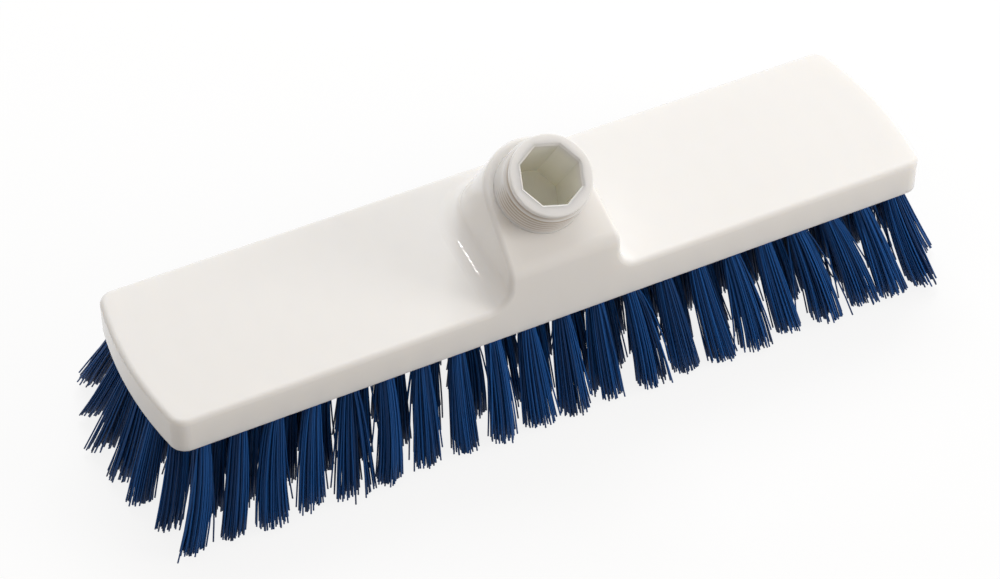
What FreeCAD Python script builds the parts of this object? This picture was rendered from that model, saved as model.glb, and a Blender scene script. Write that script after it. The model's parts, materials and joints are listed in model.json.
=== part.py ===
"""Deck scrub brush: a moulded block with a slanted handle socket and leaning tufts held by flat anchors.

Frame: millimetres, X along the block, Y from the front wall to the back, Z up. The origin lies below the
middle of the block on the plane where the bristle tips are trimmed.
"""
import FreeCAD, Part
import math
import os
import Sketcher
from FreeCAD import Placement, Rotation, Vector

# Driving dimensions: millimetres, degrees and counts.
SIZES = {
    # block
    "block_long": 300,
    "block_wide": 71,
    "block_thick": 13.8,
    "end_bulge": 4,
    "corner_radius": 6,
    "edge_radius": 2,
    # boss that carries the socket
    "socket_tilt": 33.5,
    "neck_rise": 28.8,
    "boss_radius": 19.6,
    "boss_flare": 4.5,
    "boss_back_margin": 7,
    "blend_radius": 8,
    "bend_radius": 6,
    # neck, plain where its thread runs, and its eight-sided bore
    "neck_radius": 14.4,
    "neck_long": 16.4,
    "barrel_radius": 15.2,
    "groove_long": 1.6,
    "groove_deep": 0.5,
    "lip_long": 2.8,
    "lip_chamfer": 0.8,
    "bore_across": 20.9,
    "bore_turn": 30,
    "bore_deep": 30,
    "bore_chamfer": 0.6,
    # tuft field
    "rows": 7,
    "row_tufts": 21,
    "side_margin": 4.5,
    "end_margin": 6.7,
    "row_end_curve": 7.2,
    "end_lean": 20,
    "side_lean": 21.3,
    "trim": 39.5,
    "tuft_tip_across": 8.8,
    "hole_across": 5.8,
    "hole_deep": 10,
    "tuft_clearance": 0.1,
    # flat wire anchors
    "anchor_thick": 0.4,
    "anchor_wide": 2,
    "fold_thick": 0.7,
}
BORE_SIDES = 8
BUNDLE_SIDES = 6
# Largest shares of its wall that a blend, bend, groove or chamfer takes.
BLEND_SHARE = 0.56
BEND_SHARE = 0.45
GROOVE_SHARE = 0.3
CHAMFER_SHARE = 0.3
THIRDS = ("left", "middle", "right")
TOUCH = 1e-4

doc = FreeCAD.newDocument("scrub_brush")
sheet = doc.addObject("Spreadsheet::Sheet", "Dims")
for line, (name, size) in enumerate(SIZES.items(), start=1):
    sheet.set(f"A{line}", name)
    sheet.set(f"B{line}", str(size))
    sheet.setAlias(f"B{line}", name)
doc.recompute()


def size(name):
    """A driving dimension as it stands in the sheet."""
    return float(sheet.get(name))


# Places worked out from the driving dimensions, as expressions that the features follow.
BLOCK_TOP = "(Dims.trim + Dims.block_thick)"
NECK_Y = (
    "(Dims.block_wide / 2 - Dims.boss_back_margin - Dims.neck_rise * tan(Dims.socket_tilt)"
    " - Dims.boss_radius / cos(Dims.socket_tilt))"
)
NECK_Z = f"({BLOCK_TOP} + Dims.neck_rise)"
BOSS_REACH = (
    f"((Dims.block_wide / 2 + {NECK_Y}) * cos(Dims.socket_tilt)"
    " + (Dims.neck_rise + Dims.block_thick) * sin(Dims.socket_tilt))"
)
BOSS_FRONT_WIDE = f"2 * (Dims.boss_radius / cos(Dims.boss_flare) + {BOSS_REACH} * tan(Dims.boss_flare))"
BOSS_DEEP = (
    "((Dims.neck_rise + Dims.boss_radius * sin(Dims.socket_tilt) + Dims.block_thick / 2)"
    " / cos(Dims.socket_tilt))"
)
BOSS_FRONT_RISE = f"(Dims.neck_rise - (Dims.block_wide / 2 + {NECK_Y}) * tan(Dims.socket_tilt))"
BORE_CIRCUMRADIUS = f"Dims.bore_across / 2 / cos(180 / {BORE_SIDES})"
NECK_WALL = f"(Dims.neck_radius - {BORE_CIRCUMRADIUS})"
BLEND = f"min(Dims.blend_radius; {BOSS_FRONT_RISE} * {BLEND_SHARE})"
BEND = f"min(Dims.bend_radius; {BOSS_FRONT_RISE} * {BEND_SHARE})"
BARREL_LONG = "(Dims.neck_long - Dims.groove_long - Dims.lip_long)"
GROOVE_RADIUS = f"Dims.neck_radius - min(Dims.groove_deep; {NECK_WALL} * {GROOVE_SHARE})"
LIP = f"min(Dims.lip_chamfer; Dims.lip_long * {CHAMFER_SHARE}; {NECK_WALL} * {CHAMFER_SHARE})"
MOUTH = f"min(Dims.bore_chamfer; {NECK_WALL} * {CHAMFER_SHARE})"

# The same places as numbers, for the pieces that are set out in code.
tilt = math.radians(size("socket_tilt"))
half_wide = size("block_wide") / 2
block_top = size("trim") + size("block_thick")
boss_back = half_wide - size("boss_back_margin")
neck_y = boss_back - size("neck_rise") * math.tan(tilt) - size("boss_radius") / math.cos(tilt)
neck_base = Vector(0, neck_y, block_top + size("neck_rise"))
neck_axis = Vector(0, -math.sin(tilt), math.cos(tilt))
neck_rim = neck_base + neck_axis * size("neck_long")


def attach(sketch, body, role, base, angle=None):
    """Hang a sketch on an origin plane of its body, moved and turned about X by expressions."""
    plane = next(item for item in body.Origin.OriginFeatures if item.Role == role)
    sketch.AttachmentSupport = [(plane, "")]
    sketch.MapMode = "FlatFace"
    if angle:
        sketch.AttachmentOffset = Placement(Vector(), Rotation(Vector(1, 0, 0), size("socket_tilt")))
        sketch.setExpression("AttachmentOffset.Rotation.Angle", angle)
    for axis, expression in base.items():
        sketch.setExpression(f"AttachmentOffset.Base.{axis}", expression)


def bind(sketch, expression, constraint):
    """Add a dimension to a sketch and let it follow an expression."""
    index = sketch.addConstraint(constraint)
    sketch.setExpression(f"Constraints[{index}]", expression)


def join(sketch, chain):
    """Join a closed chain of lines and arcs end to start."""
    for first, second in zip(chain, chain[1:] + chain[:1]):
        sketch.addConstraint(Sketcher.Constraint("Coincident", first, 2, second, 1))


def edges_where(feature, test):
    """Names of the edges of a feature that pass a test."""
    return [f"Edge{i}" for i, edge in enumerate(feature.Shape.Edges, start=1) if test(edge)]


def rounded(body, name, base, edges, radius, kind="Fillet"):
    """Round or chamfer chosen edges by an expression of the sheet's sizes."""
    feature = body.newObject(f"PartDesign::{kind}", name)
    feature.Base = (base, edges)
    feature.setExpression("Radius" if kind == "Fillet" else "Size", radius)
    doc.recompute()
    return feature


def plan_outline(body):
    """Plan of the block: straight long sides joined by shallow end arcs."""
    sketch = body.newObject("Sketcher::SketchObject", "plan_outline")
    attach(sketch, body, "XY_Plane", {"z": "Dims.trim"})
    half_x = size("block_long") / 2 - size("end_bulge")
    radius = (half_wide**2 + size("end_bulge") ** 2) / (2 * size("end_bulge"))
    centre = half_x + size("end_bulge") - radius
    spread = math.asin(half_wide / radius)
    up = Vector(0, 0, 1)
    front = sketch.addGeometry(Part.LineSegment(Vector(-half_x, -half_wide), Vector(half_x, -half_wide)))
    right_circle = Part.Circle(Vector(centre, 0), up, radius)
    right = sketch.addGeometry(Part.ArcOfCircle(right_circle, -spread, spread))
    back = sketch.addGeometry(Part.LineSegment(Vector(half_x, half_wide), Vector(-half_x, half_wide)))
    left_circle = Part.Circle(Vector(-centre, 0), up, radius)
    left = sketch.addGeometry(Part.ArcOfCircle(left_circle, math.pi - spread, math.pi + spread))
    join(sketch, [front, right, back, left])
    sketch.addConstraint(Sketcher.Constraint("Symmetric", front, 1, front, 2, -2))
    sketch.addConstraint(Sketcher.Constraint("Symmetric", front, 1, back, 2, -1))
    sketch.addConstraint(Sketcher.Constraint("Symmetric", front, 2, back, 1, -1))
    straight = "Dims.block_long - 2 * Dims.end_bulge"
    bind(sketch, straight, Sketcher.Constraint("DistanceX", front, 1, front, 2, 2 * half_x))
    bind(sketch, "Dims.block_wide", Sketcher.Constraint("DistanceY", front, 2, back, 1, 2 * half_wide))
    end_radius = "((Dims.block_wide / 2) ^ 2 + Dims.end_bulge ^ 2) / (2 * Dims.end_bulge)"
    bind(sketch, end_radius, Sketcher.Constraint("Radius", right, radius))
    bind(sketch, end_radius, Sketcher.Constraint("Radius", left, radius))
    return sketch


def boss_outline(body):
    """Arch of the boss, seen along the socket: a round back and straight sides that flare to the front."""
    sketch = body.newObject("Sketcher::SketchObject", "boss_outline")
    attach(sketch, body, "XY_Plane", {"y": NECK_Y, "z": NECK_Z}, "Dims.socket_tilt")
    flare = math.radians(size("boss_flare"))
    radius = size("boss_radius")
    drop = size("neck_rise") + size("block_thick")
    reach = (half_wide + neck_y) * math.cos(tilt) + drop * math.sin(tilt)
    foot = radius / math.cos(flare) + reach * math.tan(flare)
    shoulder = Vector(radius * math.cos(flare), radius * math.sin(flare))
    circle = Part.Circle(Vector(), Vector(0, 0, 1), radius)
    arch = sketch.addGeometry(Part.ArcOfCircle(circle, flare, math.pi - flare))
    left = sketch.addGeometry(Part.LineSegment(Vector(-shoulder.x, shoulder.y), Vector(-foot, -reach)))
    base = sketch.addGeometry(Part.LineSegment(Vector(-foot, -reach), Vector(foot, -reach)))
    right = sketch.addGeometry(Part.LineSegment(Vector(foot, -reach), shoulder))
    sketch.addConstraint(Sketcher.Constraint("Coincident", arch, 3, -1, 1))
    sketch.addConstraint(Sketcher.Constraint("Tangent", arch, 2, left, 1))
    sketch.addConstraint(Sketcher.Constraint("Tangent", right, 2, arch, 1))
    sketch.addConstraint(Sketcher.Constraint("Coincident", left, 2, base, 1))
    sketch.addConstraint(Sketcher.Constraint("Coincident", base, 2, right, 1))
    sketch.addConstraint(Sketcher.Constraint("Symmetric", base, 1, base, 2, -2))
    bind(sketch, "Dims.boss_radius", Sketcher.Constraint("Radius", arch, radius))
    bind(sketch, BOSS_REACH, Sketcher.Constraint("DistanceY", base, 1, -1, 1, reach))
    bind(sketch, BOSS_FRONT_WIDE, Sketcher.Constraint("DistanceX", base, 1, base, 2, 2 * foot))
    return sketch


def rectangle(body, name, role, base, wide, tall, low):
    """A rectangle centred on the local Y axis, from a lower edge upwards, for trimming cuts."""
    sketch = body.newObject("Sketcher::SketchObject", name)
    attach(sketch, body, role, base)
    half = size("block_long") / 2
    corners = [Vector(-half, -half), Vector(half, -half), Vector(half, half), Vector(-half, half)]
    sides = [
        sketch.addGeometry(Part.LineSegment(first, second))
        for first, second in zip(corners, corners[1:] + corners[:1])
    ]
    join(sketch, sides)
    sketch.addConstraint(Sketcher.Constraint("Symmetric", sides[0], 1, sides[0], 2, -2))
    sketch.addConstraint(Sketcher.Constraint("Vertical", sides[1]))
    sketch.addConstraint(Sketcher.Constraint("Horizontal", sides[2]))
    sketch.addConstraint(Sketcher.Constraint("Vertical", sides[3]))
    bind(sketch, wide, Sketcher.Constraint("DistanceX", sides[0], 1, sides[0], 2, 2 * half))
    bind(sketch, tall, Sketcher.Constraint("DistanceY", sides[1], 1, sides[1], 2, 2 * half))
    bind(sketch, low, Sketcher.Constraint("DistanceY", sides[0], 1, -1, 1, half))
    return sketch


def neck_profile(body):
    """Half section of the neck beside its axis: barrel, V-shaped relief groove and lip."""
    sketch = body.newObject("Sketcher::SketchObject", "neck_profile")
    attach(sketch, body, "XZ_Plane", {"y": NECK_Z, "z": f"-{NECK_Y}"}, "Dims.socket_tilt")
    barrel = size("barrel_radius")
    lip = size("neck_radius")
    groove = lip - size("groove_deep")
    top = size("neck_long")
    lip_start = top - size("lip_long")
    barrel_end = lip_start - size("groove_long")
    corners = [
        Vector(),
        Vector(barrel, 0),
        Vector(barrel, barrel_end),
        Vector(groove, (barrel_end + lip_start) / 2),
        Vector(lip, lip_start),
        Vector(lip, top),
        Vector(0, top),
    ]
    sides = [
        sketch.addGeometry(Part.LineSegment(first, second))
        for first, second in zip(corners, corners[1:] + corners[:1])
    ]
    join(sketch, sides)
    foot, wall, fall, climb, lip_wall, rim, axis = sides
    sketch.addConstraint(Sketcher.Constraint("Coincident", foot, 1, -1, 1))
    sketch.addConstraint(Sketcher.Constraint("Horizontal", foot))
    sketch.addConstraint(Sketcher.Constraint("Vertical", wall))
    sketch.addConstraint(Sketcher.Constraint("Vertical", lip_wall))
    sketch.addConstraint(Sketcher.Constraint("Horizontal", rim))
    sketch.addConstraint(Sketcher.Constraint("Vertical", axis))
    half_groove = "Dims.groove_long / 2"
    bind(sketch, "Dims.barrel_radius", Sketcher.Constraint("DistanceX", foot, 1, foot, 2, barrel))
    bind(sketch, BARREL_LONG, Sketcher.Constraint("DistanceY", wall, 1, wall, 2, barrel_end))
    bind(sketch, GROOVE_RADIUS, Sketcher.Constraint("DistanceX", -1, 1, climb, 1, groove))
    bind(sketch, half_groove, Sketcher.Constraint("DistanceY", fall, 1, fall, 2, size("groove_long") / 2))
    bind(sketch, half_groove, Sketcher.Constraint("DistanceY", climb, 1, climb, 2, size("groove_long") / 2))
    bind(sketch, "Dims.neck_radius", Sketcher.Constraint("DistanceX", -1, 1, climb, 2, lip))
    bind(sketch, "Dims.neck_long", Sketcher.Constraint("DistanceY", -1, 1, rim, 1, top))
    return sketch


def octagon(body):
    """Eight-sided mouth of the bore, turned about the socket's axis."""
    sketch = body.newObject("Sketcher::SketchObject", "bore_outline")
    lift = f"{NECK_Z} + Dims.neck_long * cos(Dims.socket_tilt)"
    ahead = f"{NECK_Y} - Dims.neck_long * sin(Dims.socket_tilt)"
    attach(sketch, body, "XY_Plane", {"y": ahead, "z": lift}, "Dims.socket_tilt")
    step = 2 * math.pi / BORE_SIDES
    radius = size("bore_across") / 2 / math.cos(step / 2)
    start = math.radians(size("bore_turn")) - math.pi / 2 - step / 2
    angles = [start + i * step for i in range(BORE_SIDES)]
    corners = [Vector(radius * math.cos(a), radius * math.sin(a)) for a in angles]
    sides = [
        sketch.addGeometry(Part.LineSegment(first, second))
        for first, second in zip(corners, corners[1:] + corners[:1])
    ]
    guide = sketch.addGeometry(Part.Circle(Vector(), Vector(0, 0, 1), radius), True)
    join(sketch, sides)
    sketch.addConstraint(Sketcher.Constraint("Coincident", guide, 3, -1, 1))
    for side in sides:
        sketch.addConstraint(Sketcher.Constraint("PointOnObject", side, 1, guide))
    for side in sides[1:]:
        sketch.addConstraint(Sketcher.Constraint("Equal", sides[0], side))
    bind(sketch, BORE_CIRCUMRADIUS, Sketcher.Constraint("Radius", guide, radius))
    bind(sketch, "Dims.bore_turn", Sketcher.Constraint("Angle", sides[0], math.radians(size("bore_turn"))))
    return sketch


def pad(body, name, sketch, length, reverse=False):
    """Extrude a sketch, by default along its normal."""
    feature = body.newObject("PartDesign::Pad", name)
    feature.Profile = sketch
    feature.Reversed = reverse
    feature.setExpression("Length", length)
    doc.recompute()
    return feature


def pocket(body, name, sketch, length, reverse=False):
    """Cut a sketch into the body, by default against its normal, and see that it took material away."""
    before = body.Shape.Volume
    feature = body.newObject("PartDesign::Pocket", name)
    feature.Profile = sketch
    feature.Reversed = reverse
    feature.setExpression("Length", length)
    doc.recompute()
    if feature.Shape.Volume >= before - TOUCH:
        raise RuntimeError(f"{name} cut nothing")
    return feature


def block_moulding():
    """The moulding without its tuft holes: block, arched boss, neck and bore."""
    body = doc.addObject("PartDesign::Body", "moulding")
    doc.recompute()
    slab = pad(body, "slab", plan_outline(body), "Dims.block_thick")

    def upright(edge):
        return abs(edge.BoundBox.ZLength - size("block_thick")) < TOUCH

    rounded(body, "corner_rounds", slab, edges_where(slab, upright), "Dims.corner_radius")
    pad(body, "boss", boss_outline(body), BOSS_DEEP, reverse=True)
    below = rectangle(
        body,
        "below_block",
        "XY_Plane",
        {"z": "Dims.trim"},
        "Dims.block_wide",
        "2 * Dims.block_wide",
        "Dims.block_wide",
    )
    pocket(body, "underside_trim", below, BOSS_DEEP)
    ahead = rectangle(
        body,
        "ahead_of_block",
        "XZ_Plane",
        {"z": "Dims.block_wide / 2"},
        "2 * Dims.block_wide",
        f"{NECK_Z} + Dims.block_wide",
        "Dims.block_wide",
    )
    front = pocket(body, "front_trim", ahead, BOSS_DEEP, reverse=True)

    def front_edge(edge):
        on_face = all(abs((v.Point - neck_base).dot(neck_axis)) < TOUCH for v in edge.Vertexes)
        return on_face and all(abs(v.Point.y + half_wide) < TOUCH for v in edge.Vertexes)

    bend = rounded(body, "front_bend", front, edges_where(front, front_edge), BEND)

    def boss_foot(edge):
        box = edge.BoundBox
        level = abs(box.ZMin - block_top) < TOUCH and box.ZLength < TOUCH
        inside = abs(box.Center.y) < half_wide - size("edge_radius")
        return level and inside and abs(box.Center.x) < 2 * size("boss_radius")

    blend = rounded(body, "boss_blend", bend, edges_where(bend, boss_foot), BLEND)

    def top_rim(edge):
        box = edge.BoundBox
        return abs(box.ZMin - block_top) < TOUCH and box.ZLength < TOUCH and not boss_foot(edge)

    # The rim runs on into the boss's ridge, so that one round follows the whole line.
    rounded(body, "rim_round", blend, edges_where(blend, top_rim), "Dims.edge_radius")
    profile = neck_profile(body)
    neck = body.newObject("PartDesign::Revolution", "neck")
    neck.Profile = profile
    neck.ReferenceAxis = (profile, ["V_Axis"])
    doc.recompute()

    def neck_end(edge):
        return all(abs((v.Point - neck_rim).dot(neck_axis)) < TOUCH for v in edge.Vertexes)

    rounded(body, "lip_chamfer", neck, edges_where(neck, neck_end), LIP, kind="Chamfer")
    bore = pocket(body, "bore", octagon(body), "Dims.bore_deep")

    def bore_mouth(edge):
        straight = isinstance(edge.Curve, Part.Line)
        return straight and neck_end(edge)

    rounded(body, "bore_chamfer", bore, edges_where(bore, bore_mouth), MOUTH, kind="Chamfer")
    return body


class Tuft:
    """One tuft's place: where its hole opens in the underside, how it leans, and the frame along it."""

    def __init__(self, across_share, along_share):
        reach_y = half_wide - size("side_margin")
        reach_x = size("block_long") / 2 - size("end_margin") - size("row_end_curve") * across_share**2
        lean_x = math.tan(math.radians(size("end_lean"))) * along_share
        lean_y = math.tan(math.radians(size("side_lean"))) * across_share
        self.mouth = Vector(reach_x * along_share, reach_y * across_share, size("trim"))
        self.out = Vector(lean_x, lean_y, -1).normalize()
        self.wide = Vector(0, 1, 0).cross(self.out).normalize()
        self.side = self.out.cross(self.wide)

    def at(self, distance):
        """A point on the tuft's axis, measured outwards from the underside."""
        return self.mouth + self.out * distance

    def ring(self, distance, across):
        """Corners of the bundle's outline at a distance along the axis, given its width across flats."""
        radius = across / 2 / math.cos(math.pi / BUNDLE_SIDES)
        angles = [2 * math.pi * i / BUNDLE_SIDES for i in range(BUNDLE_SIDES)]
        centre = self.at(distance)
        return [centre + (self.wide * math.cos(a) + self.side * math.sin(a)) * radius for a in angles]

    def bar(self, long, thick, wide, distance):
        """A bar across the hole, centred on the axis at a distance outwards from the underside."""
        box = Part.makeBox(long, thick, wide, Vector(-long / 2, -thick / 2, -wide / 2))
        box.Placement = Placement(self.at(distance), Rotation(self.wide, self.side, self.out, "XYZ"))
        return box


def closed_solid(first, second):
    """The solid between two rings of corners, with a flat face on every side."""
    count = len(first)
    outlines = [first, second]
    outlines += [[first[i - 1], first[i], second[i], second[i - 1]] for i in range(count)]
    faces = [Part.Face(Part.makePolygon(corners + corners[:1])) for corners in outlines]
    solid = Part.Solid(Part.Shell(faces))
    if solid.Volume < 0:
        solid.reverse()
    return solid


def hole(tuft):
    """The blind hole that holds a tuft, kept to few flat sides because there are so many."""
    across = size("hole_across")
    return closed_solid(tuft.ring(-size("hole_deep"), across), tuft.ring(size("hole_deep"), across))


def bundle(tuft):
    """A tuft: flared from its hole to the trim plane, its folded root split into two legs by the anchor."""
    mouth_across = size("hole_across") - 2 * size("tuft_clearance")
    tip_distance = size("trim") / -tuft.out.z
    spread = (size("tuft_tip_across") - mouth_across) / tip_distance
    root_distance = size("tuft_clearance") - size("hole_deep")
    root = tuft.ring(root_distance, mouth_across + spread * root_distance)
    tip = tuft.ring(tip_distance, size("tuft_tip_across"))
    trimmed = [a + (b - a) * (a.z / (a.z - b.z)) for a, b in zip(root, tip)]
    slot_thick = size("anchor_thick") + 2 * size("tuft_clearance")
    slot_deep = size("fold_thick") + size("anchor_wide") + size("tuft_clearance")
    slot = tuft.bar(size("tuft_tip_across"), slot_thick, 2 * slot_deep, -size("hole_deep"))
    return closed_solid(root, trimmed).cut(slot)


def anchor(tuft):
    """The flat wire anchor between a tuft's legs, corner to corner in the hole, a fold above its floor."""
    half_corner = math.pi / BUNDLE_SIDES
    seat = size("hole_across") / math.cos(half_corner) - size("anchor_thick") * math.tan(half_corner)
    middle = size("fold_thick") + size("anchor_wide") / 2 - size("hole_deep")
    return tuft.bar(seat - 2 * size("tuft_clearance"), size("anchor_thick"), size("anchor_wide"), middle)


def tuft_rows():
    """All tufts row by row from the front: every second row holds one more, so that the rows stagger."""
    rows = int(size("rows"))
    field = []
    for row in range(rows):
        across_share = 2 * row / (rows - 1) - 1
        count = int(size("row_tufts")) + row % 2
        field.append([Tuft(across_share, 2 * i / (count - 1) - 1) for i in range(count)])
    return field


def thirds(row):
    """A row's tufts split into its left, middle and right third."""
    cut = len(row) // len(THIRDS)
    return dict(zip(THIRDS, (row[:cut], row[cut:-cut], row[-cut:])))


def group(label, solids):
    """A sub-part made of separate solids of one kind."""
    feature = doc.addObject("Part::Feature", label)
    feature.Shape = Part.makeCompound(solids)
    feature.Placement = Placement()
    feature.Label = label
    return feature


moulding = block_moulding()
field = tuft_rows()
holes = group("tuft_holes", [hole(tuft) for row in field for tuft in row])
block = doc.addObject("Part::Cut", "brush_block")
block.Base = moulding
block.Tool = holes
block.Placement = Placement()
block.Label = "brush_block"
pieces = [block]
for number, row in enumerate(field, start=1):
    for place, tufts in thirds(row).items():
        pieces.append(group(f"tufts_row_{number}_{place}", [bundle(tuft) for tuft in tufts]))
        pieces.append(group(f"anchors_row_{number}_{place}", [anchor(tuft) for tuft in tufts]))
doc.recompute()

for item in doc.Objects:
    if "Invalid" in item.State or "Error" in item.State:
        raise RuntimeError(f"{item.Label} failed: {item.State}")
for piece in pieces:
    if piece.Shape.isNull() or not piece.Shape.isValid():
        raise RuntimeError(f"{piece.Label} has no valid shape")

os.makedirs("parts", exist_ok=True)
for piece in pieces:
    piece.Shape.exportStep(f"parts/{piece.Label}.step")
print(len(pieces), "sub-parts,", sum(len(row) for row in field), "tufts")
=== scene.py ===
"""Deck scrub brush dressed for its portrait: glossy white moulding, screw thread and loose blue bristles.

Units are metres in the part's own frame: X along the block, Y from the front wall to the back, Z up, with
the bristle tips on the plane Z = 0.
"""
import json
import math

import bpy
import numpy as np
from mathutils import Matrix, Vector


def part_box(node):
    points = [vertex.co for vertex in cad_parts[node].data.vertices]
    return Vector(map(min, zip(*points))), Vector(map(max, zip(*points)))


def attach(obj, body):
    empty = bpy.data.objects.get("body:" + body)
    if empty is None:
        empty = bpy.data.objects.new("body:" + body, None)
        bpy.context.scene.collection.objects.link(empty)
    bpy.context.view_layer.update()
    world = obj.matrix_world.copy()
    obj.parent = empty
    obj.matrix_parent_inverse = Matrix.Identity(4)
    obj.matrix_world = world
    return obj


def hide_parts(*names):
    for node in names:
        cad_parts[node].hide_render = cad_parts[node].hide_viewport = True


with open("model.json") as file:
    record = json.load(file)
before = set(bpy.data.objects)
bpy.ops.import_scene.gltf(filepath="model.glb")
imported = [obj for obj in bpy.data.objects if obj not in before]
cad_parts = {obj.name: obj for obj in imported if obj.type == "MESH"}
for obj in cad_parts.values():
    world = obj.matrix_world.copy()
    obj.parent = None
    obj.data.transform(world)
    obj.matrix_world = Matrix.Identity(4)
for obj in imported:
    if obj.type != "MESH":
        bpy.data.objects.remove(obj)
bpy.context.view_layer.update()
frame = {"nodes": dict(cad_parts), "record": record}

MM = 0.001

# Places read from the frame: the block's box and the neck's mounts.
block_low, block_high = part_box("brush_block")
half_long = block_high.x
half_wide = block_high.y
underside = block_low.z
mounts = {mount["name"]: mount for mount in frame["record"]["mounts"]}
neck_axis = np.array(mounts["handle_neck"]["axis"])
rim_centre = np.array(mounts["handle_socket"]["pos_m"])
barrel_radius = mounts["handle_neck"]["dims"]["r_mm"] * MM
barrel_long = mounts["handle_neck"]["dims"]["length_mm"] * MM
neck_base = np.array(mounts["handle_neck"]["pos_m"]) - neck_axis * barrel_long / 2
neck_long = float((rim_centre - neck_base) @ neck_axis)
neck_across = np.array((1.0, 0.0, 0.0))
neck_aside = np.cross(neck_axis, neck_across)

# Tuft field, as the block is drilled. The loose filaments at the ends hang a little steeper than their holes.
ROWS = 7
ROW_TUFTS = 21
THIRDS = ("left", "middle", "right")
SIDE_MARGIN = 4.5 * MM
END_MARGIN = 6.7 * MM
ROW_END_CURVE = 7.2 * MM
END_LEAN = math.radians(17)
SIDE_LEAN = math.radians(21.3)

# Filaments of one tuft.
FILAMENTS = 78
FILAMENT_RADIUS = 0.31 * MM
FILAMENT_SIDES = 5
RING_SHARES = np.array((0.0, 0.1, 0.24, 0.42, 0.62, 0.82, 1.0))
ROOT_SUNK = 2.5 * MM
ROOT_SPREAD = 2.5 * MM
TIP_SPREAD = np.array((5.5, 3.4)) * MM
TIP_SCATTER = 0.13
TIP_JITTER = 0.3 * MM
FLARE_POWER = 0.68
LEAN_SCATTER = np.array((0.9, 0.7)) * MM
BOW = 0.3 * MM
TUFT_BOW = 0.5 * MM
SPLIT_SHARE = 0.35
SPLIT_FROM = 0.45
SPLIT_REACH = 2.4 * MM
SPLIT_LEAST = 0.4
SPLIT_TURN = 0.5
EQUAL_LENGTH_SHARE = 0.6
TRIM_LOW = 0.2 * MM
TRIM_RAGGED = 1.2 * MM
TRIM_POWER = 1.6
SHORT_SHARE = 0.05
SHORT_BY = 5 * MM
SHORT_POWER = 2
STRAY_SHARE = 0.045
STRAY_LEAST = 0.3
STRAY_TURN = 0.7
STRAY_REACH = np.array((6.0, 3.5)) * MM
GOLDEN_ANGLE = math.pi * (3 - math.sqrt(5))
SEED = 41

# Screw thread and lip of the neck, measured from the neck's base.
THREAD_PITCH = 1.9 * MM
THREAD_HEIGHT = np.array((1.15, 0.6)) * MM
THREAD_FROM = 1.5 * MM
THREAD_TO = 11.9 * MM
THREAD_FADE = 0.4 * MM
THREAD_MIDDLE = math.radians(232)
THREAD_HALF_SECTOR = math.radians(68)
THREAD_SECTOR_FADE = math.radians(30)
ROOT_WIDENING = 1.4
# Painted shade over the thread's crests, as a share of the shade painted in its roots.
CREST_PAINTED_SHADE = 0.12
SMOOTH_RISE = np.array((0.9, 0.45)) * MM
BARREL_EDGE = 0.5 * MM
BARREL_SUNK = 0.4 * MM
GROOVE_BOTTOM = np.array((0.8, 13.9)) * MM
LIP_START = np.array((1.6, 14.4)) * MM
LIP_EDGE = np.array((2.0, 14.8)) * MM
LIP_ROUND = 0.5 * MM
SKIN = 0.05 * MM
BORE_FLAT_RADIUS = 11.17 * MM
BORE_SIDES = 8
BORE_TURN = math.radians(30)
THREAD_STEPS = 320
BARREL_STEPS = 170
ROUND_STEPS = 6

# Painted yellow cast inside the bore, standing in for light scattered through the plastic and bounced in it:
# distances below the rim and from the axis.
BORE_TINT_FROM = -0.5 * MM
BORE_TINT_DEEP = -6 * MM
BORE_RADIUS = 11.4 * MM
BORE_MOUTH_RADIUS = 11.7 * MM

# White plastic. The peel is a bump, and the cloud moves colour and gloss.
PLASTIC_LIGHT = (0.885, 0.87, 0.848, 1)
PLASTIC_SHADED = (0.868, 0.85, 0.826, 1)
PLASTIC_ROUGHNESS = 0.025
ROUGHNESS_CHANGE = 0.008
CLOUD_SCALE = 22
CLOUD_DETAIL = 3
CLOUD_RANGE = (0.3, 0.7)
PEEL_SCALE = 900
PEEL_DETAIL = 2
PEEL_STRENGTH = 0.03
PEEL_DEPTH = 0.02 * MM
# Painted yellow cast of light scattered and bounced inside the bore.
BORE_PAINTED_CAST = (0.98, 0.965, 0.87, 1)
# Painted shade of the thread's roots and of the groove under the lip.
PAINTED_THREAD_SHADE_TINT = (0.46, 0.36, 0.26, 1)
SCATTER_WEIGHT = 0.55
SCATTER_RADIUS = (1, 0.95, 0.86)
SCATTER_SCALE = 6 * MM

# Blue filament and anchor wire, each from its darkest to its lightest tone.
FILAMENT_TONES = ((0.002, 0.026, 0.1, 1), (0.01, 0.09, 0.32, 1))
FILAMENT_ROUGHNESS = 0.4
FILAMENT_SPECULAR = 0.2
WIRE_TONES = ((0.48, 0.48, 0.47, 1), (0.66, 0.66, 0.64, 1))
WIRE_ROUGHNESS = 0.35
WIRE_STREAK_SCALE = 1800

# Camera, in the photograph's frame of 1000 by 579 pixels.
IMAGE_WIDE = 1000
FOCAL_PIXELS = 3001
SENSOR_WIDE = 36
CAMERA_AZIMUTH = math.radians(-27.256)
CAMERA_ELEVATION = math.radians(44.141)
CAMERA_ROLL = math.radians(0.264)
CAMERA_AIM = Vector((-21.0, -26.0, 53.3)) * MM
CAMERA_DISTANCE = 1039.6 * MM

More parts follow.
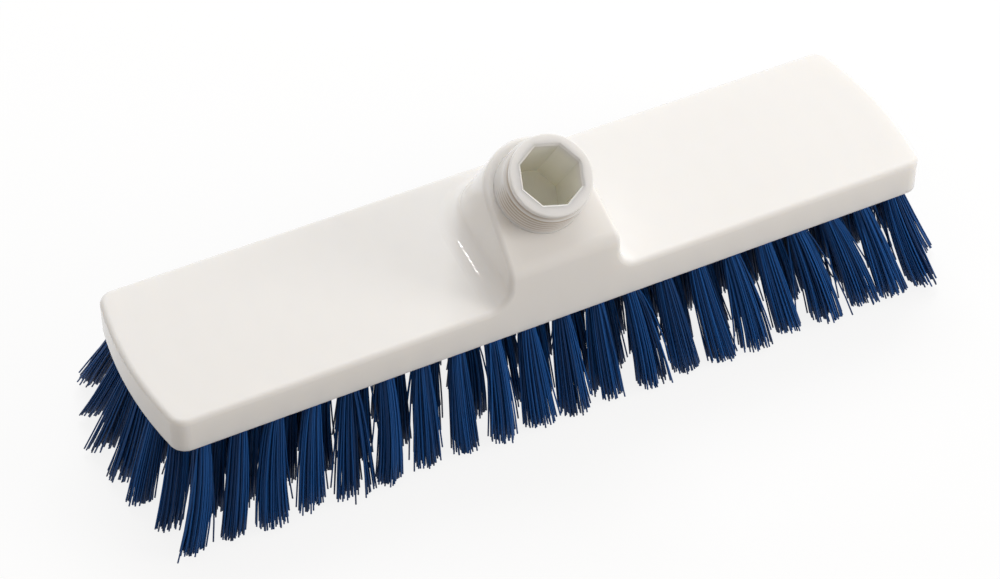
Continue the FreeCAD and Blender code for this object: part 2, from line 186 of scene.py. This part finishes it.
# Light. Places and sizes of lamps and floor are in metres, and powers in watts.
WORLD_STRENGTH = 0.485
WORLD_COLOUR = (1, 0.94, 0.88, 1)
WHITE = (1, 1, 1, 1)
FLOOR_HALF = 3.0
FLOOR_ROUGHNESS = 0.9
FLOOR_DARK = (0.35, 0.34, 0.33, 1)
FLOOR_PALE = (0.95, 0.95, 0.95, 1)
FLOOR_WHITE_SHARE = 0.85
LAMP_AIM = Vector((0, 0, 50)) * MM
LAMPS = {
    "back_box": {
        "place": (0.38, 0.84, 1.08), "wide": 1.0, "tall": 0.7, "power": 12.6, "colour": (0.95, 0.975, 1)
    },
    "front_box": {
        "place": (1.05, -0.85, 0.5), "wide": 0.8, "tall": 0.65, "power": 8.6, "colour": (1, 0.975, 0.945)
    },
    "bulb": {
        "place": (-0.49, 0.775, 0.7), "wide": 0.03, "tall": 0.03, "power": 0.13, "colour": (1, 1, 1),
        "mirrored": True,
    },
}


def smooth_step(low, high, value):
    """Rises from 0 at low to 1 at high along 3t^2 - 2t^3."""
    share = np.clip((value - low) / (high - low), 0, 1)
    return share * share * (3 - 2 * share)


def mesh_piece(name, points, corners, corner_starts, smooth):
    """Object at the origin from vertex places, the corner list of all faces, and where each face starts."""
    mesh = bpy.data.meshes.new(name)
    mesh.vertices.add(len(points))
    mesh.vertices.foreach_set("co", np.asarray(points, np.float32).ravel())
    mesh.loops.add(len(corners))
    mesh.loops.foreach_set("vertex_index", np.asarray(corners, np.int32))
    mesh.polygons.add(len(corner_starts))
    mesh.polygons.foreach_set("loop_start", np.asarray(corner_starts, np.int32))
    mesh.polygons.foreach_set("use_smooth", np.asarray(smooth, bool))
    mesh.update(calc_edges=True)
    mesh.validate()
    piece = bpy.data.objects.new(name, mesh)
    bpy.context.scene.collection.objects.link(piece)
    return piece


def ring_surface(name, points):
    """Closed surface from a grid of points that joins up in both of its directions, as a torus does."""
    around, along = points.shape[:2]
    index = np.arange(around * along).reshape(around, along)
    ahead = np.roll(index, -1, axis=0)
    quads = np.stack((index, ahead, np.roll(ahead, -1, axis=1), np.roll(index, -1, axis=1)), axis=-1)
    corners = quads.reshape(-1)
    starts = np.arange(around * along) * 4
    return mesh_piece(name, points.reshape(-1, 3), corners, starts, np.ones(len(starts)))


def tubes(name, centres, across, aside):
    """Closed thin tubes: a circle of FILAMENT_RADIUS carried along each row of centres, with flat ends."""
    count, rings = centres.shape[:2]
    angles = 2 * math.pi * np.arange(FILAMENT_SIDES) / FILAMENT_SIDES
    circle = across[:, None, :] * np.cos(angles)[:, None] + aside[:, None, :] * np.sin(angles)[:, None]
    points = centres[:, :, None, :] + FILAMENT_RADIUS * circle[:, None, :, :]
    index = np.arange(count * rings * FILAMENT_SIDES).reshape(count, rings, FILAMENT_SIDES)
    turned = np.roll(index, -1, axis=2)
    quads = np.stack((index[:, :-1], turned[:, :-1], turned[:, 1:], index[:, 1:]), axis=-1).reshape(-1)
    caps = np.stack((index[:, 0, ::-1], index[:, -1]), axis=1).reshape(-1)
    quad_starts = np.arange(len(quads) // 4) * 4
    cap_starts = len(quads) + np.arange(2 * count) * FILAMENT_SIDES
    smooth = np.concatenate((np.ones(len(quad_starts)), np.zeros(len(cap_starts))))
    return mesh_piece(
        name,
        points.reshape(-1, 3),
        np.concatenate((quads, caps)),
        np.concatenate((quad_starts, cap_starts)),
        smooth,
    )


def tuft_frames(row):
    """Mouths and the three directions of every tuft in a row.

    A tuft's mouth lies at its shares of the drilled field, and it leans outwards by the same shares.
    """
    count = ROW_TUFTS + row % 2
    across_share = 2 * row / (ROWS - 1) - 1
    along = 2 * np.arange(count) / (count - 1) - 1
    reach_x = half_long - END_MARGIN - ROW_END_CURVE * across_share**2
    reach_y = half_wide - SIDE_MARGIN
    mouth = np.stack(
        (reach_x * along, np.full(count, reach_y * across_share), np.full(count, underside)), axis=1
    )
    out = np.stack(
        (math.tan(END_LEAN) * along, np.full(count, math.tan(SIDE_LEAN) * across_share), -np.ones(count)),
        axis=1,
    )
    out /= np.linalg.norm(out, axis=1, keepdims=True)
    wide = np.cross(np.array((0.0, 1.0, 0.0)), out)
    wide /= np.linalg.norm(wide, axis=1, keepdims=True)
    return mouth, out, wide, np.cross(out, wide)


def filament_lines(mouth, out, wide, side, random):
    """Centre lines of the filaments of some tufts, with a random tone for each.

    A filament keeps its place of a sunflower disc from root to tip, while the disc widens into a fan as a
    power of the distance. Its tuft leans and bows by chance, and a part of some tufts splits off sideways.
    Its length is cut off near Z = 0, a little higher the more its tuft leans, and it bows as 4t(1 - t).
    A few filaments are short, and a few of those stray outwards.
    """
    tufts = len(mouth)
    shape = (tufts, FILAMENTS)
    order = np.arange(FILAMENTS)
    radius = np.sqrt((order + 0.5) / FILAMENTS)
    angle = order * GOLDEN_ANGLE + random.uniform(0, 2 * math.pi, (tufts, 1))
    disc = np.stack((radius * np.cos(angle), radius * np.sin(angle)), axis=-1)
    tip = disc * TIP_SPREAD * random.normal(1, TIP_SCATTER, (tufts, 1, 2))
    tip = tip + random.normal(0, 1, (tufts, 1, 2)) * LEAN_SCATTER + random.normal(0, TIP_JITTER, (*shape, 2))
    split_angle = random.integers(0, 2, (tufts, 1)) * math.pi + random.normal(0, SPLIT_TURN, (tufts, 1))
    split_way = np.stack((np.cos(split_angle), np.sin(split_angle)), axis=-1)
    parted = (np.sum(disc * split_way, axis=-1) > SPLIT_FROM) & (random.random((tufts, 1)) < SPLIT_SHARE)
    tip = tip + split_way * (parted * SPLIT_REACH * random.uniform(SPLIT_LEAST, 1, (tufts, 1)))[..., None]
    stray = random.random(shape) < STRAY_SHARE
    stray_way = angle + random.normal(0, STRAY_TURN, shape)
    stray_by = (stray * random.uniform(STRAY_LEAST, 1, shape))[..., None] * STRAY_REACH
    tip = tip + np.stack((np.cos(stray_way), np.sin(stray_way)), axis=-1) * stray_by
    short = stray | (random.random(shape) < SHORT_SHARE)
    end_z = TRIM_LOW + TRIM_RAGGED * random.random(shape) ** TRIM_POWER
    end_z = end_z + short * SHORT_BY * random.random(shape) ** SHORT_POWER
    end_z = end_z + EQUAL_LENGTH_SHARE * mouth[:, None, 2] * (1 + out[:, None, 2])
    lift = tip[..., 0] * wide[:, None, 2] + tip[..., 1] * side[:, None, 2]
    length = (mouth[:, None, 2] + lift - end_z) / -out[:, None, 2]
    distance = -ROOT_SUNK + (length + ROOT_SUNK)[..., None] * RING_SHARES
    share = np.clip(distance / length[..., None], 0, 1)
    root = disc * ROOT_SPREAD
    place = root[:, :, None, :] + (tip - root)[:, :, None, :] * share[..., None] ** FLARE_POWER
    bow_way = random.uniform(0, 2 * math.pi, shape)
    bow_by = random.normal(0, BOW, shape)
    bow = np.stack((np.cos(bow_way), np.sin(bow_way)), axis=-1) * bow_by[..., None]
    bow = bow + random.normal(0, TUFT_BOW, (tufts, 1, 2))
    place = place + bow[:, :, None, :] * (4 * share * (1 - share))[..., None]
    lines = (
        mouth[:, None, None, :]
        + out[:, None, None, :] * distance[..., None]
        + wide[:, None, None, :] * place[..., :1]
        + side[:, None, None, :] * place[..., 1:]
    )
    return lines.reshape(-1, len(RING_SHARES), 3), random.random(tufts * FILAMENTS)


def bristle_pieces(material):
    """Loose filaments for every third of every row, each standing for the solid tufts of that third."""
    for row in range(ROWS):
        mouth, out, wide, side = tuft_frames(row)
        cut = len(mouth) // len(THIRDS)
        spans = (slice(0, cut), slice(cut, -cut), slice(-cut, None))
        for third, span in enumerate(spans):
            random = np.random.default_rng(SEED + row * len(THIRDS) + third)
            lines, tone = filament_lines(mouth[span], out[span], wide[span], side[span], random)
            across = np.repeat(wide[span], FILAMENTS, axis=0)
            aside = np.repeat(side[span], FILAMENTS, axis=0)
            name = f"row_{row + 1}_{THIRDS[third]}"
            piece = tubes(f"bristles_{name}", lines, across, aside)
            points = len(RING_SHARES) * FILAMENT_SIDES
            add_attribute(piece, "tone", np.repeat(tone, points))
            piece.data.materials.append(material)
            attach(piece, "root")
            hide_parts(f"tufts_{name}")


def add_attribute(piece, name, values):
    """A number for every vertex of a piece, which its material reads."""
    attribute = piece.data.attributes.new(name, "FLOAT", "POINT")
    attribute.data.foreach_set("value", np.asarray(values, np.float32))


def thread_profile(angle, height):
    """Radius of the neck's outside at an angle round it and a height above its base, and how much shade is
    painted on it there.

    A smooth barrel, slightly tapered, carries a helical ridge, a raised cosine of height - pitch x turns,
    inside two opposite sectors only. Straight slopes fall into the groove and rise out of it to the lip.
    """
    turns = angle / (2 * math.pi)
    ridge = 0.5 + 0.5 * np.cos(2 * math.pi * (height / THREAD_PITCH - turns))
    offset = np.abs((angle - THREAD_MIDDLE + math.pi / 2) % math.pi - math.pi / 2)
    threaded = 1 - smooth_step(THREAD_HALF_SECTOR - THREAD_SECTOR_FADE, THREAD_HALF_SECTOR, offset)
    threaded = threaded * smooth_step(THREAD_FROM, THREAD_FROM + THREAD_FADE, height)
    threaded = threaded * (1 - smooth_step(THREAD_TO - THREAD_FADE, THREAD_TO, height))
    up = np.clip(height / barrel_long, 0, 1)
    smooth = SMOOTH_RISE[0] * (1 - up) + SMOOTH_RISE[1] * up
    smooth = smooth * (1 - smooth_step(barrel_long - BARREL_EDGE, barrel_long, height))
    crest = THREAD_HEIGHT[0] * (1 - up) + THREAD_HEIGHT[1] * up
    outside = barrel_radius + smooth * (1 - threaded) + crest * ridge * threaded
    heights = barrel_long + np.array((0, GROOVE_BOTTOM[0], LIP_START[0], LIP_EDGE[0]))
    radii = np.array((barrel_radius, GROOVE_BOTTOM[1], LIP_START[1], LIP_EDGE[1]))
    groove = smooth_step(barrel_long, heights[1], height) * (1 - smooth_step(heights[1], heights[3], height))
    radius = SKIN + np.where(height < barrel_long, outside, np.interp(height, heights, radii))
    # Painted shade: darkest in the thread's roots, faint over its crests, and in the groove under the lip.
    root = CREST_PAINTED_SHADE + (1 - CREST_PAINTED_SHADE) * np.clip(ROOT_WIDENING * (1 - ridge), 0, 1)
    return radius, np.maximum(threaded * root, groove)


def neck_dress(material):
    """Skin of the neck from its base to the bore's mouth: barrel, thread, groove and lip, closed inside.

    The lip's flat ring ends on the bore's eight flats, at flat radius / cos(angle from the flat's middle).
    """
    angle = 2 * math.pi * np.arange(THREAD_STEPS) / THREAD_STEPS
    lip_top = neck_long + SKIN
    height = np.linspace(-BARREL_SUNK, lip_top - LIP_ROUND, BARREL_STEPS)
    angles, heights = np.meshgrid(angle, height, indexing="ij")
    side_radius, root = thread_profile(angles, heights)
    turn = np.linspace(0, math.pi / 2, ROUND_STEPS)[1:]
    round_radius = side_radius[:, -1:] - LIP_ROUND * (1 - np.cos(turn))
    round_height = lip_top - LIP_ROUND + LIP_ROUND * np.sin(turn)
    sector = 2 * math.pi / BORE_SIDES
    mouth = BORE_FLAT_RADIUS / np.cos((angle - BORE_TURN + sector / 2) % sector - sector / 2)
    inside = np.full(THREAD_STEPS, GROOVE_BOTTOM[1] - BARREL_SUNK)
    flat_edge = round_radius[:, -1] - SKIN
    inner_radius = np.stack((flat_edge, mouth + SKIN, mouth, mouth, inside), axis=1)
    inner_height = np.array((lip_top, lip_top, lip_top, neck_long - 2 * SKIN, -BARREL_SUNK))
    radius = np.concatenate((side_radius, round_radius, inner_radius), axis=1)
    flat = np.concatenate((height, round_height, inner_height))
    points = (
        neck_base
        + neck_axis * flat[None, :, None]
        + neck_across * (radius * np.cos(angle)[:, None])[..., None]
        + neck_aside * (radius * np.sin(angle)[:, None])[..., None]
    )
    piece = ring_surface("neck_thread", points)
    plain = np.zeros((THREAD_STEPS, len(flat) - BARREL_STEPS))
    # Painted shade for the barrel's thread and groove; none on the lip's top or inside the bore.
    add_attribute(piece, "painted_thread_shade", np.concatenate((root, plain), axis=1).ravel())
    piece.data.materials.append(material)
    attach(piece, "root")


def node_material(name):
    """Material with an empty node tree, its Principled shader and its output."""
    material = bpy.data.materials.new(name)
    material.use_nodes = True
    tree = material.node_tree
    tree.nodes.clear()
    shader = tree.nodes.new("ShaderNodeBsdfPrincipled")
    output = tree.nodes.new("ShaderNodeOutputMaterial")
    tree.links.new(shader.outputs["BSDF"], output.inputs["Surface"])
    return material, tree, shader


def moulded_skin_group():
    """Moulded plastic's surface: faint cloudy colour, uneven gloss and a very shallow orange peel."""
    group = bpy.data.node_groups.new("moulded_skin", "ShaderNodeTree")
    taken = {"Light": "NodeSocketColor", "Shaded": "NodeSocketColor", "Gloss": "NodeSocketFloat"}
    for name, kind in taken.items():
        group.interface.new_socket(name, in_out="INPUT", socket_type=kind)
    returned = {"Color": "NodeSocketColor", "Roughness": "NodeSocketFloat", "Height": "NodeSocketFloat"}
    for name, kind in returned.items():
        group.interface.new_socket(name, in_out="OUTPUT", socket_type=kind)
    nodes, links = group.nodes, group.links
    given = nodes.new("NodeGroupInput")
    made = nodes.new("NodeGroupOutput")
    place = nodes.new("ShaderNodeTexCoord")
    cloud = nodes.new("ShaderNodeTexNoise")
    cloud.inputs["Scale"].default_value = CLOUD_SCALE
    cloud.inputs["Detail"].default_value = CLOUD_DETAIL
    mix = nodes.new("ShaderNodeMix")
    mix.data_type = "RGBA"
    peel = nodes.new("ShaderNodeTexNoise")
    peel.inputs["Scale"].default_value = PEEL_SCALE
    peel.inputs["Detail"].default_value = PEEL_DETAIL
    uneven = nodes.new("ShaderNodeMapRange")
    uneven.inputs["From Min"].default_value = CLOUD_RANGE[0]
    uneven.inputs["From Max"].default_value = CLOUD_RANGE[1]
    uneven.inputs["To Min"].default_value = -ROUGHNESS_CHANGE
    uneven.inputs["To Max"].default_value = ROUGHNESS_CHANGE
    add = nodes.new("ShaderNodeMath")
    links.new(place.outputs["Object"], cloud.inputs["Vector"])
    links.new(place.outputs["Object"], peel.inputs["Vector"])
    links.new(cloud.outputs["Fac"], mix.inputs["Factor"])
    links.new(given.outputs["Light"], mix.inputs["A"])
    links.new(given.outputs["Shaded"], mix.inputs["B"])
    links.new(cloud.outputs["Fac"], uneven.inputs["Value"])
    links.new(given.outputs["Gloss"], add.inputs[0])
    links.new(uneven.outputs["Result"], add.inputs[1])
    links.new(mix.outputs["Result"], made.inputs["Color"])
    links.new(add.outputs["Value"], made.inputs["Roughness"])
    links.new(peel.outputs["Fac"], made.inputs["Height"])
    return group


def bore_mask(tree):
    """Where the bore's painted yellow cast goes: 1 deep inside the bore and 0 outside it, from the distance
    to the neck's axis and to its rim.
    """
    place = tree.nodes.new("ShaderNodeTexCoord")
    offset = tree.nodes.new("ShaderNodeVectorMath")
    offset.operation = "SUBTRACT"
    offset.inputs[1].default_value = rim_centre
    height = tree.nodes.new("ShaderNodeVectorMath")
    height.operation = "DOT_PRODUCT"
    height.inputs[1].default_value = neck_axis
    across = tree.nodes.new("ShaderNodeVectorMath")
    across.operation = "CROSS_PRODUCT"
    across.inputs[1].default_value = neck_axis
    radius = tree.nodes.new("ShaderNodeVectorMath")
    radius.operation = "LENGTH"
    deep = tree.nodes.new("ShaderNodeMapRange")
    inside = tree.nodes.new("ShaderNodeMapRange")
    deep.inputs["From Min"].default_value = BORE_TINT_FROM
    deep.inputs["From Max"].default_value = BORE_TINT_DEEP
    inside.inputs["From Min"].default_value = BORE_MOUTH_RADIUS
    inside.inputs["From Max"].default_value = BORE_RADIUS
    both = tree.nodes.new("ShaderNodeMath")
    both.operation = "MULTIPLY"
    tree.links.new(place.outputs["Object"], offset.inputs[0])
    tree.links.new(offset.outputs["Vector"], height.inputs[0])
    tree.links.new(offset.outputs["Vector"], across.inputs[0])
    tree.links.new(across.outputs["Vector"], radius.inputs[0])
    tree.links.new(height.outputs["Value"], deep.inputs["Value"])
    tree.links.new(radius.outputs["Value"], inside.inputs["Value"])
    tree.links.new(deep.outputs["Result"], both.inputs[0])
    tree.links.new(inside.outputs["Result"], both.inputs[1])
    return both.outputs["Value"]


def white_moulding(group):
    """Warm white glossy plastic of the block, with a painted yellow cast of scattered light inside the bore
    and painted shade in the thread's roots and the groove under the lip.
    """
    material, tree, shader = node_material("white_moulding")
    skin = tree.nodes.new("ShaderNodeGroup")
    skin.node_tree = group
    skin.inputs["Light"].default_value = PLASTIC_LIGHT
    skin.inputs["Shaded"].default_value = PLASTIC_SHADED
    skin.inputs["Gloss"].default_value = PLASTIC_ROUGHNESS
    # Painted yellow cast of light scattered through the plastic and bounced inside the bore.
    painted_bore_cast = tree.nodes.new("ShaderNodeMix")
    painted_bore_cast.data_type = "RGBA"
    painted_bore_cast.inputs["B"].default_value = BORE_PAINTED_CAST
    # Painted shade in the thread's roots and the groove under the lip, read from the neck's skin.
    painted_thread_shade = tree.nodes.new("ShaderNodeAttribute")
    painted_thread_shade.attribute_name = "painted_thread_shade"
    thread_painted_shade = tree.nodes.new("ShaderNodeMix")
    thread_painted_shade.data_type = "RGBA"
    thread_painted_shade.inputs["B"].default_value = PAINTED_THREAD_SHADE_TINT
    bump = tree.nodes.new("ShaderNodeBump")
    bump.inputs["Strength"].default_value = PEEL_STRENGTH
    bump.inputs["Distance"].default_value = PEEL_DEPTH
    tree.links.new(bore_mask(tree), painted_bore_cast.inputs["Factor"])
    tree.links.new(skin.outputs["Color"], painted_bore_cast.inputs["A"])
    tree.links.new(painted_thread_shade.outputs["Fac"], thread_painted_shade.inputs["Factor"])
    tree.links.new(painted_bore_cast.outputs["Result"], thread_painted_shade.inputs["A"])
    tree.links.new(thread_painted_shade.outputs["Result"], shader.inputs["Base Color"])
    tree.links.new(skin.outputs["Roughness"], shader.inputs["Roughness"])
    tree.links.new(skin.outputs["Height"], bump.inputs["Height"])
    tree.links.new(bump.outputs["Normal"], shader.inputs["Normal"])
    shader.inputs["Subsurface Weight"].default_value = SCATTER_WEIGHT
    shader.inputs["Subsurface Radius"].default_value = SCATTER_RADIUS
    shader.inputs["Subsurface Scale"].default_value = SCATTER_SCALE
    return material


def blue_filament():
    """Drawn blue filament: every one has its own tone."""
    material, tree, shader = node_material("blue_filament")
    tone = tree.nodes.new("ShaderNodeAttribute")
    tone.attribute_name = "tone"
    ramp = tree.nodes.new("ShaderNodeValToRGB")
    ramp.color_ramp.elements[0].color, ramp.color_ramp.elements[1].color = FILAMENT_TONES
    tree.links.new(tone.outputs["Fac"], ramp.inputs["Fac"])
    tree.links.new(ramp.outputs["Color"], shader.inputs["Base Color"])
    shader.inputs["Roughness"].default_value = FILAMENT_ROUGHNESS
    shader.inputs["Specular IOR Level"].default_value = FILAMENT_SPECULAR
    return material


def drawn_wire():
    """Flat drawn steel wire of the anchors, with a fine change of tone."""
    material, tree, shader = node_material("drawn_wire")
    place = tree.nodes.new("ShaderNodeTexCoord")
    streak = tree.nodes.new("ShaderNodeTexNoise")
    streak.inputs["Scale"].default_value = WIRE_STREAK_SCALE
    ramp = tree.nodes.new("ShaderNodeValToRGB")
    ramp.color_ramp.elements[0].color, ramp.color_ramp.elements[1].color = WIRE_TONES
    tree.links.new(place.outputs["Object"], streak.inputs["Vector"])
    tree.links.new(streak.outputs["Fac"], ramp.inputs["Fac"])
    tree.links.new(ramp.outputs["Color"], shader.inputs["Base Color"])
    shader.inputs["Metallic"].default_value = 1
    shader.inputs["Roughness"].default_value = WIRE_ROUGHNESS
    return material


def pale_to_camera(tree):
    """1 for camera, glossy and transmission rays, which see the white ground, and 0 for the rest."""
    path = tree.nodes.new("ShaderNodeLightPath")
    first = tree.nodes.new("ShaderNodeMath")
    first.operation = "MAXIMUM"
    second = tree.nodes.new("ShaderNodeMath")
    second.operation = "MAXIMUM"
    tree.links.new(path.outputs["Is Camera Ray"], first.inputs[0])
    tree.links.new(path.outputs["Is Glossy Ray"], first.inputs[1])
    tree.links.new(first.outputs["Value"], second.inputs[0])
    tree.links.new(path.outputs["Is Transmission Ray"], second.inputs[1])
    return second.outputs["Value"]


def studio_floor():
    """Pale floor at the bristle tips: white to the camera with a light shadow, and darker to other rays."""
    half = FLOOR_HALF
    points = np.array(((-half, -half, 0), (half, -half, 0), (half, half, 0), (-half, half, 0)))
    floor = mesh_piece("floor", points, np.arange(4), np.array((0,)), np.zeros(1))
    material, tree, shader = node_material("pale_floor")
    shader.inputs["Roughness"].default_value = FLOOR_ROUGHNESS
    shader.inputs["Specular IOR Level"].default_value = 0
    seen = pale_to_camera(tree)
    shade = tree.nodes.new("ShaderNodeMix")
    shade.data_type = "RGBA"
    shade.inputs["A"].default_value = FLOOR_DARK
    shade.inputs["B"].default_value = FLOOR_PALE
    white = tree.nodes.new("ShaderNodeEmission")
    mix = tree.nodes.new("ShaderNodeMixShader")
    share = tree.nodes.new("ShaderNodeMath")
    share.operation = "MULTIPLY"
    share.inputs[1].default_value = FLOOR_WHITE_SHARE
    output = tree.nodes["Material Output"]
    tree.links.new(seen, shade.inputs["Factor"])
    tree.links.new(shade.outputs["Result"], shader.inputs["Base Color"])
    tree.links.new(seen, share.inputs[0])
    tree.links.new(share.outputs["Value"], mix.inputs["Fac"])
    tree.links.new(shader.outputs["BSDF"], mix.inputs[1])
    tree.links.new(white.outputs["Emission"], mix.inputs[2])
    tree.links.new(mix.outputs["Shader"], output.inputs["Surface"])
    floor.data.materials.append(material)


def studio_world():
    """Soft light from all round, and plain white where the camera sees past the floor."""
    world = bpy.data.worlds.new("studio")
    world.use_nodes = True
    tree = world.node_tree
    tree.nodes.clear()
    soft = tree.nodes.new("ShaderNodeBackground")
    soft.inputs["Color"].default_value = WORLD_COLOUR
    soft.inputs["Strength"].default_value = WORLD_STRENGTH
    white = tree.nodes.new("ShaderNodeBackground")
    white.inputs["Color"].default_value = WHITE
    mix = tree.nodes.new("ShaderNodeMixShader")
    output = tree.nodes.new("ShaderNodeOutputWorld")
    tree.links.new(pale_to_camera(tree), mix.inputs["Fac"])
    tree.links.new(soft.outputs["Background"], mix.inputs[1])
    tree.links.new(white.outputs["Background"], mix.inputs[2])
    tree.links.new(mix.outputs["Shader"], output.inputs["Surface"])
    bpy.context.scene.world = world


def soft_box(name, place, wide, tall, power, colour, mirrored=False):
    """Rectangular lamp that faces the block.

    It only lights the pieces, as from behind a light tent, or it is only mirrored in them, as a bare bulb is
    whose own light is too weak to count.
    """
    lamp = bpy.data.lights.new(name, "AREA")
    lamp.shape = "RECTANGLE"
    lamp.size = wide
    lamp.size_y = tall
    lamp.energy = power
    lamp.color = colour
    holder = bpy.data.objects.new(name, lamp)
    holder.location = place
    holder.rotation_mode = "QUATERNION"
    holder.rotation_quaternion = (LAMP_AIM - Vector(place)).to_track_quat("-Z", "Y")
    holder.visible_glossy = mirrored
    holder.visible_diffuse = not mirrored
    bpy.context.scene.collection.objects.link(holder)


def studio_lamps():
    """A large box above at the back right, a lower one at the front right, and a bulb at the back left."""
    for name, settings in LAMPS.items():
        soft_box(name, **settings)


def portrait_camera():
    """Camera at the photograph's viewing angle, turned by azimuth and elevation about its aim and rolled."""
    back = Vector(
        (
            math.sin(CAMERA_AZIMUTH) * math.cos(CAMERA_ELEVATION),
            -math.cos(CAMERA_AZIMUTH) * math.cos(CAMERA_ELEVATION),
            math.sin(CAMERA_ELEVATION),
        )
    )
    level = Vector((math.cos(CAMERA_AZIMUTH), math.sin(CAMERA_AZIMUTH), 0))
    right = level * math.cos(CAMERA_ROLL) + back.cross(level) * math.sin(CAMERA_ROLL)
    up = back.cross(right)
    data = bpy.data.cameras.new("portrait_camera")
    data.sensor_fit = "HORIZONTAL"
    data.sensor_width = SENSOR_WIDE
    data.lens = FOCAL_PIXELS * SENSOR_WIDE / IMAGE_WIDE
    camera = bpy.data.objects.new("portrait_camera", data)
    turn = Matrix((right, up, back)).transposed().to_4x4()
    camera.matrix_world = Matrix.Translation(CAMERA_AIM + back * CAMERA_DISTANCE) @ turn
    bpy.context.scene.collection.objects.link(camera)
    bpy.context.scene.camera = camera


def dress_node(node, material):
    """Give a carried-over solid its finish."""
    data = frame["nodes"][node].data
    data.materials.clear()
    data.materials.append(material)


bpy.context.scene.view_settings.view_transform = "Standard"
plastic = white_moulding(moulded_skin_group())
wire = drawn_wire()
dress_node("brush_block", plastic)
for node in frame["nodes"]:
    if node.startswith("anchors_"):
        dress_node(node, wire)
neck_dress(plastic)
bristle_pieces(blue_filament())
studio_floor()
studio_world()
studio_lamps()
portrait_camera()
